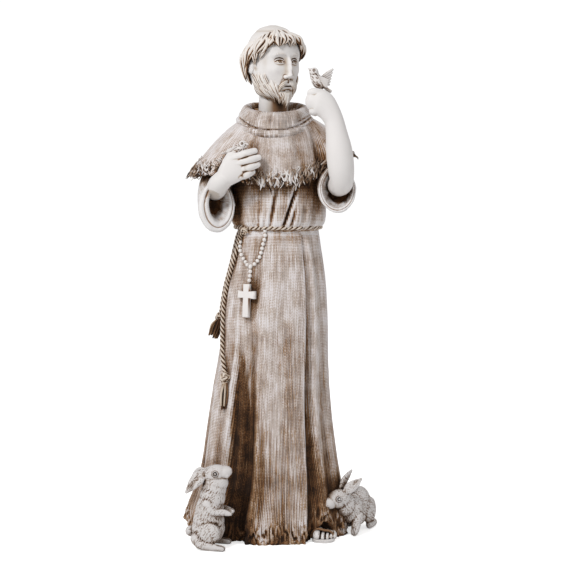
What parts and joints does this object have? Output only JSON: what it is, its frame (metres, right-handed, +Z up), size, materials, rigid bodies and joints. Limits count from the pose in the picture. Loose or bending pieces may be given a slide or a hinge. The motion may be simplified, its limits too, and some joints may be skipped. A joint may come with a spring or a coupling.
{
  "type": "saint francis statue",
  "caption": "Garden statue of a friar in a roped, woven habit with a shoulder cape, a hand raised to a perched bird, and small animals at the hem, in antiqued cast resin.",
  "frame": {"origin": "on the ground, at the middle of the bounding box in plan", "axes": "+Z up, -Y towards the figure's front, +X towards the viewer's right when facing the front (the side of the raised hand)"},
  "size_m": [0.3493, 0.2693, 0.8993],
  "materials": {
    "antique_resin": "pale cast resin with a brown antique wash in the recesses, matt"
  },
  "bodies": {
    "root": {"saint_francis_statue": "antique_resin"}
  },
  "joints": []
}
